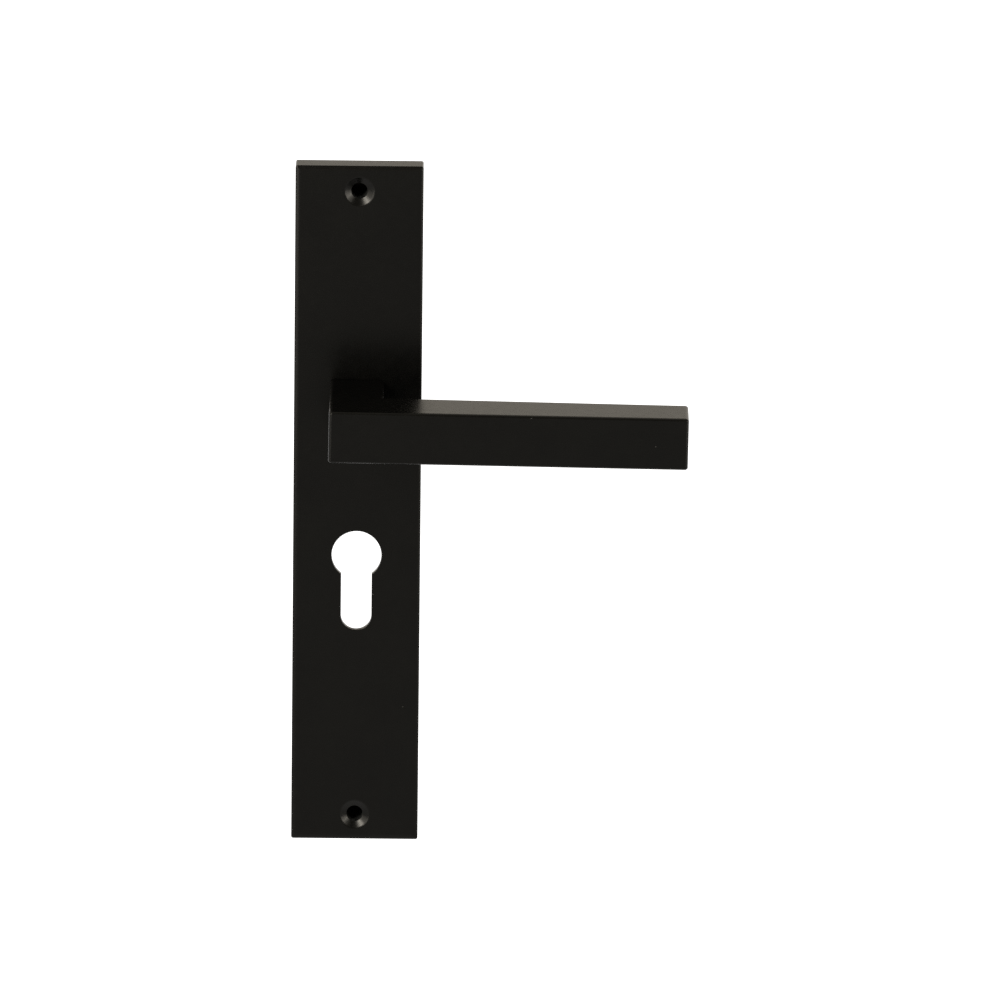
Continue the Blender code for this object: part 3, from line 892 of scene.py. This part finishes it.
def wire(bm, route, radius, sides=20, end_edge=0.12):
    """A round wire along the route, with a map of (length along, share round) in its UVs."""
    steps = [(after - before).normalized() for before, after in zip(route, route[1:])]
    tangents = [steps[0]] + [(a + b).normalized() for a, b in zip(steps, steps[1:])] + [steps[-1]]
    across = tangents[0].cross(Vector((0, 1, 0))).normalized()
    insets = [end_edge] + [0.0] * (len(route) - 2) + [-end_edge]
    stations = [Station(route[0], tangents[0], radius - end_edge, 0.0)]
    length = 0.0
    for i, (point, tangent, inset) in enumerate(zip(route, tangents, insets)):
        if i:
            length += (point - route[i - 1]).length
        stations.append(Station(point + tangent * inset, tangent, radius, length))
    stations.append(Station(route[-1], tangents[-1], radius - end_edge, length))
    rows = []
    for station in stations:
        tangent = station.tangent
        across = (across - tangent * across.dot(tangent)).normalized()
        other = tangent.cross(across)
        row = []
        for k in range(sides):
            angle = math.tau * k / sides
            out = across * math.cos(angle) + other * math.sin(angle)
            row.append(bm.verts.new(station.centre + out * station.radius))
        rows.append(row)
    layer = bm.loops.layers.uv.new("UVMap")
    bm.faces.new(rows[0][::-1])
    bm.faces.new(rows[-1])
    for i, (near, far) in enumerate(zip(rows, rows[1:])):
        for k in range(sides):
            after = (k + 1) % sides
            face = bm.faces.new((near[k], near[after], far[after], far[k]))
            near_u, far_u = stations[i].length, stations[i + 1].length
            low_v, high_v = k / sides, (k + 1) / sides
            places = ((near_u, low_v), (near_u, high_v), (far_u, high_v), (far_u, low_v))
            for loop, place in zip(face.loops, places):
                loop[layer].uv = place


def torsion_spring(material):
    """A coil whose front leg reaches the plate's peg and whose rear one reaches the cam's lug."""
    bm = bmesh.new()
    wire(bm, spring_route(), WIRE_R)
    spring = solid("torsion_spring", bm)
    dress(spring, material, "spring_steel", None, "return_spring")
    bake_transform(spring)


# Spring cover.


def cover_pressing(material):
    bm = bmesh.new()
    outline = rounded(rectangle((COVER.left, COVER.low), (COVER.right, COVER.high)), COVER_CORNER)
    slab(bm, outline, COVER.front, COVER.back, PRESSED_EDGE / 2, PRESSED_EDGE)
    cover = solid("cover_pressing", bm)
    bm = bmesh.new()
    outlines = [circle(COVER_HOLE_R)]
    for middle in (0, 180):
        window = sector(WINDOW_IN_R, WINDOW_OUT_R, middle, WINDOW_HALF)
        outlines.append(rounded(window, WINDOW_CORNER))
    outlines += [circle(COVER_SCREW_R + GAP, centre, TINY_SIDES) for centre in pillar_places()]
    for outline in outlines:
        slab(bm, outline, COVER.front, COVER.back, -PRESSED_EDGE / 2, -PRESSED_EDGE)
    cut(cover, bm)
    dress(cover, material, "zinc_plated_steel", "plate", "spring_cover")


def cross(reach, arm):
    """The outline of a cross recess."""
    corner = [(reach, arm), (arm, arm), (arm, reach)]
    outline = []
    for sign_x, sign_z, order in ((1, 1, 1), (-1, 1, -1), (-1, -1, 1), (1, -1, -1)):
        outline += [(sign_x * a, sign_z * b) for a, b in corner[::order]]
    return outline


def screw_head(bm, head_front):
    """A low dome that ends in a small flat, on the start of the shank."""
    dome_front = head_front + HEAD_RIM
    profile = [
        (COVER_SCREW_R, head_front - OVERLAP / 2),
        (COVER_SCREW_R, head_front),
        (COVER_SCREW_HEAD_R - HEAD_CHAMFER, head_front),
        (COVER_SCREW_HEAD_R, head_front + HEAD_CHAMFER),
        (COVER_SCREW_HEAD_R, dome_front),
    ]
    for turn in quarter_turns(HEAD_STEPS)[1:]:
        radius = HEAD_FLAT_R + (COVER_SCREW_HEAD_R - HEAD_FLAT_R) * math.cos(turn)
        profile.append((radius, dome_front + (COVER_SCREW_HEAD - HEAD_RIM) * math.sin(turn)))
    turned(bm, profile, sides=SMALL_SIDES)


def cross_recess(bm, head_back, degrees):
    outline = cross(RECESS_REACH, RECESS_ARM)
    loops = []
    for growth, y in RECESS_LEVELS:
        level = rounded(grown(outline, growth), RECESS_CORNER, steps=2)
        loops.append([(x, head_back + y, z) for x, z in level])
    skin(bm, loops)
    rotate(bm, degrees, "Y")


def cover_fixing(number, node, material):
    """A low pan-headed screw with a cross recess, standing at its CAD node's place."""
    box = span(node)
    head_front = box.back - COVER_SCREW_HEAD
    bm = bmesh.new()
    screw_head(bm, head_front)
    screw = solid(f"cover_fixing_{number}", bm)
    bm = bmesh.new()
    end_radii = (COVER_SCREW_TIP_R, COVER_SCREW_R - COVER_SCREW_THREAD)
    threaded(
        bm, COVER_SCREW_R, COVER_SCREW_THREAD, COVER_SCREW_PITCH, box.front, head_front, end_radii
    )
    join(screw, bm)
    bm = bmesh.new()
    cross_recess(bm, box.back, FIRST_RECESS_TURN + RECESS_TURN * number)
    cut(screw, bm)
    x, z = middle_of(box)
    screw.data.transform(Matrix.Translation((x * MM, 0, z * MM)))
    dress(screw, material, "zinc_plated_steel", "plate", node)


# Materials. Colours are linear, and strengths lie between 0 and 1.

COAT_DEEP = (0.0002, 0.0002, 0.0002, 1)
COAT_PALE = (0.0005, 0.0005, 0.0004, 1)
COAT_LEVEL = 0.12  # the strength of what it mirrors
COAT_TINT = (1.0, 0.96, 0.88, 1)  # the colour of what it mirrors
DUST = (0.03, 0.029, 0.026, 1)
DUST_SPACING = 5.5
DUST_SHARE = 0.16  # of the places that hold a speck
DUST_EDGE = (0.018, 0.035)  # where a speck starts to fade and where it ends, in spacings
# Painted shade: the dull, dark inside of the screw bores.
BORE_SHADE_DEEP = (0.003, 0.003, 0.003, 1)
BORE_SHADE_PALE = (0.012, 0.012, 0.011, 1)
ZINC_COOL = (0.40, 0.43, 0.48, 1)
ZINC_WARM = (0.50, 0.47, 0.39, 1)
ZINC_WORN = (0.24, 0.25, 0.26, 1)
STEEL_BLUE = (0.20, 0.21, 0.25)
STEEL_STRAW = (0.34, 0.31, 0.27)
WIRE_LINES = (0.02 * MM, 0.014, 1.0)  # the scale of the lines along the wire, in its UVs
NYLON_DEEP = (0.80, 0.78, 0.71, 1)
NYLON_PALE = (0.86, 0.85, 0.79, 1)
NYLON_SCATTER = (1.0, 0.9, 0.7)  # how far each colour goes in, as shares of NYLON_DEPTH
NYLON_DEPTH = 0.8

# Sockets of a Mix node that mixes colours.
MIX_FACTOR, MIX_A, MIX_B = 0, 6, 7
MIX_RESULT = 2


class Nodes:
    """Adds nodes to a material or a world, with their inputs as values or as other nodes' outputs."""

    def __init__(self, owner):
        owner.use_nodes = True
        self.tree = owner.node_tree

    def add(self, kind, inputs=(), **settings):
        made = self.tree.nodes.new(kind)
        for name, value in settings.items():
            setattr(made, name, value)
        for name, value in dict(inputs).items():
            self.set(made, name, value)
        return made

    def set(self, made, name, value):
        if isinstance(value, bpy.types.NodeSocket):
            self.tree.links.new(value, made.inputs[name])
        else:
            made.inputs[name].default_value = value

    def place(self):
        """Where a point is on the object, in metres."""
        return self.add("ShaderNodeTexCoord").outputs["Object"]

    def stretched(self, vector, scale):
        return self.add("ShaderNodeMapping", {"Vector": vector, "Scale": scale}).outputs["Vector"]

    def noise(self, vector, size, detail=3.0, roughness=0.55, distortion=0.0):
        """Noise with features of about that size in millimetres."""
        inputs = {
            "Vector": vector,
            "Scale": 1 / (size * MM),
            "Detail": detail,
            "Roughness": roughness,
            "Distortion": distortion,
        }
        return self.add("ShaderNodeTexNoise", inputs).outputs["Fac"]

    def remap(self, value, low, high, from_low=0.3, from_high=0.7):
        """From low to high while the value goes from from_low to from_high, and level beyond them."""
        inputs = {
            "Value": value,
            "From Min": from_low,
            "From Max": from_high,
            "To Min": low,
            "To Max": high,
        }
        return self.add("ShaderNodeMapRange", inputs).outputs["Result"]

    def math(self, operation, a, b):
        return self.add("ShaderNodeMath", {0: a, 1: b}, operation=operation).outputs[0]

    def mix(self, factor, a, b):
        """A colour between two colours."""
        made = self.add("ShaderNodeMix", data_type="RGBA")
        self.set(made, MIX_FACTOR, factor)
        self.set(made, MIX_A, a)
        self.set(made, MIX_B, b)
        return made.outputs[MIX_RESULT]

    def bump(self, height, depth, strength=1.0, normal=None):
        """A bump of that depth in millimetres."""
        inputs = {"Height": height, "Distance": depth * MM, "Strength": strength}
        if normal:
            inputs["Normal"] = normal
        return self.add("ShaderNodeBump", inputs).outputs["Normal"]


def surface(name):
    made = bpy.data.materials.new(name)
    nodes = Nodes(made)
    return made, nodes, nodes.tree.nodes["Principled BSDF"]


def black_coat():
    """Satin black powder coat: a very fine orange peel, and a few specks of dust caught in it."""
    made, nodes, shader = surface("black_coat")
    place = nodes.place()
    cells = nodes.add("ShaderNodeTexVoronoi", {"Vector": place, "Scale": 1 / (DUST_SPACING * MM)})
    near = nodes.remap(cells.outputs["Distance"], 1.0, 0.0, *DUST_EDGE)
    chosen = nodes.add("ShaderNodeSeparateColor", {"Color": cells.outputs["Color"]}).outputs["Red"]
    speck = nodes.math("MULTIPLY", near, nodes.math("LESS_THAN", chosen, DUST_SHARE))
    cloud = nodes.remap(nodes.noise(place, 14.0, 4.0), 0.0, 1.0)
    base = nodes.mix(cloud, COAT_DEEP, COAT_PALE)
    nodes.set(shader, "Base Color", nodes.mix(speck, base, DUST))
    patches = nodes.remap(nodes.noise(place, 3.0, 5.0, 0.6), 0.25, 0.30)
    nodes.set(shader, "Roughness", nodes.math("ADD", patches, nodes.math("MULTIPLY", speck, 0.2)))
    shader.inputs["Specular IOR Level"].default_value = COAT_LEVEL
    shader.inputs["Specular Tint"].default_value = COAT_TINT
    peel = nodes.bump(nodes.noise(place, 0.7, 2.0, 0.4), 0.006)
    grain = nodes.bump(nodes.noise(place, 0.16, 2.0, 0.5), 0.0012, normal=peel)
    nodes.set(shader, "Normal", nodes.bump(speck, 0.02, normal=grain))
    return made


def painted_shade_bore():
    """Dull, dark metal without gloss: painted shade inside the deep, narrow bores."""
    made, nodes, shader = surface("painted_shade_bore")
    place = nodes.place()
    streaks = nodes.remap(nodes.noise(nodes.stretched(place, (1.0, 0.2, 1.0)), 1.2, 4.0), 0.0, 1.0)
    nodes.set(shader, "Base Color", nodes.mix(streaks, BORE_SHADE_DEEP, BORE_SHADE_PALE))
    nodes.set(shader, "Roughness", nodes.remap(streaks, 0.8, 0.95, 0.0, 1.0))
    # No gloss inside the bores, so that they read as shade.
    shader.inputs["Specular IOR Level"].default_value = 0.0
    nodes.set(shader, "Normal", nodes.bump(nodes.noise(place, 0.4, 4.0), 0.03))
    return made


def zinc_plate(name, along, stretch=40.0):
    """Bright zinc over cold-rolled steel: rolling lines along one axis and a faint passivation tint."""
    made, nodes, shader = surface(name)
    place = nodes.place()
    scale = [stretch, stretch, stretch]
    scale["XYZ".index(along)] = 1.0
    lines = nodes.noise(nodes.stretched(place, scale), 9.0, 6.0, 0.7)
    tint = nodes.remap(nodes.noise(place, 11.0, 3.0, 0.6, 0.6), 0.0, 1.0)
    spots = nodes.remap(nodes.noise(place, 0.9, 5.0, 0.65), 0.0, 1.0)
    colour = nodes.mix(tint, ZINC_COOL, ZINC_WARM)
    dull = nodes.mix(0.5, colour, ZINC_WORN)
    dullest = nodes.remap(spots, 0.0, 0.8, 0.4, 1.0)
    worn = nodes.math("MULTIPLY", dullest, nodes.remap(lines, 0.6, 1.0))
    nodes.set(shader, "Base Color", nodes.mix(worn, colour, dull))
    shader.inputs["Metallic"].default_value = 1.0
    rough = nodes.remap(lines, 0.22, 0.44)
    nodes.set(shader, "Roughness", nodes.math("ADD", rough, nodes.remap(spots, -0.03, 0.06, 0.0, 1.0)))
    rolled = nodes.bump(lines, 0.004)
    nodes.set(shader, "Normal", nodes.bump(nodes.noise(place, 0.25, 3.0), 0.0015, normal=rolled))
    return made


def spring_steel(name, along_wire=False, shade=1.0):
    """Oiled spring steel, blued by its tempering. Drawn wire has lines along its length."""
    made, nodes, shader = surface(name)
    place = nodes.place()
    if along_wire:
        # UVs hold millimetres along and shares round, so the lines run along the wire.
        uv = nodes.add("ShaderNodeUVMap", uv_map="UVMap").outputs["UV"]
        lines = nodes.noise(nodes.stretched(uv, WIRE_LINES), 0.9, 4.0, 0.7)
    else:
        lines = nodes.noise(nodes.stretched(place, (1.0, 30.0, 1.0)), 2.5, 5.0, 0.7)
    film = nodes.remap(nodes.noise(place, 5.0, 4.0, 0.6, 0.8), 0.0, 1.0)
    blue, straw = [(*(share * shade for share in colour), 1) for colour in (STEEL_BLUE, STEEL_STRAW)]
    nodes.set(shader, "Base Color", nodes.mix(film, blue, straw))
    shader.inputs["Metallic"].default_value = 1.0
    nodes.set(shader, "Roughness", nodes.remap(lines, 0.22, 0.4))
    drawn = nodes.bump(lines, 0.004)
    nodes.set(shader, "Normal", nodes.bump(nodes.noise(place, 0.2, 3.0), 0.001, normal=drawn))
    return made


def nylon():
    """Natural nylon: slightly see-through, with a dull moulded skin."""
    made, nodes, shader = surface("nylon")
    place = nodes.place()
    flow = nodes.remap(nodes.noise(place, 6.0, 3.0, 0.5, 1.0), 0.0, 1.0)
    nodes.set(shader, "Base Color", nodes.mix(flow, NYLON_DEEP, NYLON_PALE))
    nodes.set(shader, "Roughness", nodes.remap(nodes.noise(place, 0.8, 4.0), 0.38, 0.52))
    shader.inputs["Subsurface Weight"].default_value = 0.25
    shader.inputs["Subsurface Radius"].default_value = NYLON_SCATTER
    shader.inputs["Subsurface Scale"].default_value = NYLON_DEPTH * MM
    nodes.set(shader, "Normal", nodes.bump(nodes.noise(place, 0.3, 3.0), 0.002))
    return made


# Studio. The world's colour depends on the direction, a vector of length 1: on its height and its Y.

WHITE = (1.25, 1.17, 1.04)  # at the horizon and below
BEHIND = (0.84, 0.77, 0.65)  # a little above the horizon, mirrored by what faces up
ABOVE = (0.85, 0.80, 0.70)
FRONT = (0.40, 0.38, 0.33)  # the dim room behind the camera, above the horizon
WHITE_TO_BEHIND = (0.08, 0.22)  # heights
BEHIND_TO_ABOVE = (0.3, 0.8)  # heights
FRONT_FROM_BELOW = (-0.02, 0.1)  # heights
FRONT_TO_BACK = (-0.3, 0.1)  # Y

PAPER = (1.18, 1.18, 1.18)  # the floor's own glow
FLOOR_Z = -2.5  # metres; far below, so the handle hangs in front of a plain backdrop
FLOOR_SIZE = 120.0
FLOOR_GREY = (0.24, 0.26)
FLOOR_CLOUDS = 900.0
GLOW_PLACES = (-13.0, 2.0)  # Y, between which the floor gets brighter
GLOW = (0.5, 1.1)

Lamp = namedtuple("Lamp", "name place width height radiance")
LAMP_COLOUR = (1.0, 0.97, 0.92)
LAMPS = (
    Lamp("left_key", (-1.25, -1.55, 1.15), 0.75, 0.75, 38.0),
    Lamp("right_key", (1.58, -1.18, 0.34), 0.4, 0.4, 14.0),
    Lamp("left_strip", (-0.64, -0.78, 0.27), 0.75, 1.0, 6.0),
    Lamp("right_strip", (0.9, -0.6, 0.25), 0.5, 1.0, 7.0),
)


def world():
    """Even light, brightest at the horizon and dim behind the camera."""
    made = bpy.data.worlds.new("studio")
    bpy.context.scene.world = made
    nodes = Nodes(made)
    background = nodes.tree.nodes["Background"]
    direction = nodes.add("ShaderNodeTexCoord").outputs["Generated"]
    way = nodes.add("ShaderNodeSeparateXYZ", {"Vector": direction})
    height = way.outputs["Z"]
    low = nodes.remap(height, 0.0, 1.0, *WHITE_TO_BEHIND)
    high = nodes.remap(height, 0.0, 1.0, *BEHIND_TO_ABOVE)
    colour = nodes.mix(high, nodes.mix(low, (*WHITE, 1), (*BEHIND, 1)), (*ABOVE, 1))
    in_front = nodes.remap(way.outputs["Y"], 1.0, 0.0, *FRONT_TO_BACK)
    rising = nodes.remap(height, 0.0, 1.0, *FRONT_FROM_BELOW)
    dim = nodes.math("MULTIPLY", in_front, rising)
    nodes.set(background, "Color", nodes.mix(dim, colour, (*FRONT, 1)))


def studio_floor():
    bm = bmesh.new()
    half = FLOOR_SIZE / 2
    corners = [(x, y, FLOOR_Z) for x, y in rectangle((-half, -half), (half, half))]
    bm.faces.new([bm.verts.new(corner) for corner in corners])
    mesh = bpy.data.meshes.new("floor")
    bm.to_mesh(mesh)
    bm.free()
    plane = bpy.data.objects.new("floor", mesh)
    bpy.context.scene.collection.objects.link(plane)
    made, nodes, shader = surface("pale_floor")
    shade = nodes.remap(nodes.noise(nodes.place(), FLOOR_CLOUDS, 3.0), *FLOOR_GREY)
    paint = nodes.add("ShaderNodeCombineColor", {"Red": shade, "Green": shade, "Blue": shade})
    nodes.set(shader, "Base Color", paint.outputs["Color"])
    shader.inputs["Roughness"].default_value = 1.0
    shader.inputs["Specular IOR Level"].default_value = 0.0
    shader.inputs["Emission Color"].default_value = (*PAPER, 1)
    away = nodes.add("ShaderNodeSeparateXYZ", {"Vector": nodes.place()}).outputs["Y"]
    nodes.set(shader, "Emission Strength", nodes.remap(away, *GLOW, *GLOW_PLACES))
    mesh.materials.append(made)


def softbox(lamp):
    """A rectangular light, with sizes in metres, that faces the handle."""
    data = bpy.data.lights.new(lamp.name, "AREA")
    data.shape = "RECTANGLE"
    data.size = lamp.width
    data.size_y = lamp.height
    data.energy = lamp.radiance * math.pi * lamp.width * lamp.height
    data.color = LAMP_COLOUR
    made = bpy.data.objects.new(lamp.name, data)
    made.location = lamp.place
    made.rotation_euler = (-Vector(lamp.place)).to_track_quat("-Z", "Y").to_euler()
    bpy.context.scene.collection.objects.link(made)


# Camera: it looks slightly down on the handle from far away, with a long lens.

CAMERA_PITCH = math.radians(15.0)
CAMERA_YAW = math.radians(0.16)
CAMERA_ROLL = math.radians(0.64)
CAMERA_DISTANCE = 4.41
CAMERA_REACH = 200.0  # metres, past the floor's far edge
CAMERA_SENSOR = 36.0
CAMERA_LENS = 449.3
CAMERA_TARGET = Vector((0.05054, PLATE.front * MM, -0.0342))


def camera():
    level = math.cos(CAMERA_PITCH)
    east, north = math.sin(CAMERA_YAW) * level, math.cos(CAMERA_YAW) * level
    forward = Vector((east, north, -math.sin(CAMERA_PITCH)))
    right = forward.cross(Vector((0, 0, 1))).normalized()
    up = right.cross(forward)
    turn = Matrix((right, up, -forward)).transposed() @ Matrix.Rotation(CAMERA_ROLL, 3, "Z")
    data = bpy.data.cameras.new("camera")
    data.lens = CAMERA_LENS
    data.sensor_width = CAMERA_SENSOR
    data.clip_end = CAMERA_REACH
    made = bpy.data.objects.new("camera", data)
    made.matrix_world = Matrix.Translation(CAMERA_TARGET - forward * CAMERA_DISTANCE) @ turn.to_4x4()
    bpy.context.scene.collection.objects.link(made)
    bpy.context.scene.camera = made


def build():
    coat = black_coat()
    pressed = zinc_plate("zinc_pressed", "X")
    drawn = zinc_plate("zinc_drawn", "Y")
    headed = zinc_plate("zinc_headed", "Y", stretch=1.0)
    flat_steel = spring_steel("spring_steel_flat")
    black_steel = spring_steel("set_screw_steel", shade=0.35)
    plastic = nylon()
    backplate_casting(coat, painted_shade_bore())
    lever_casting(coat)
    square_spindle(drawn)
    set_screw(black_steel)
    nylon_washer(plastic)
    nylon_bush(plastic)
    stop_cam(pressed)
    thrust_ring(pressed)
    wave_ring(flat_steel)
    retaining_ring(flat_steel)
    torsion_spring(spring_steel("spring_wire", along_wire=True))
    cover_pressing(pressed)
    for number, node in enumerate(COVER_SCREWS, 1):
        cover_fixing(number, node, headed)


build()
world()
studio_floor()
for one in LAMPS:
    softbox(one)
camera()
bpy.context.scene.view_settings.view_transform = "Standard"
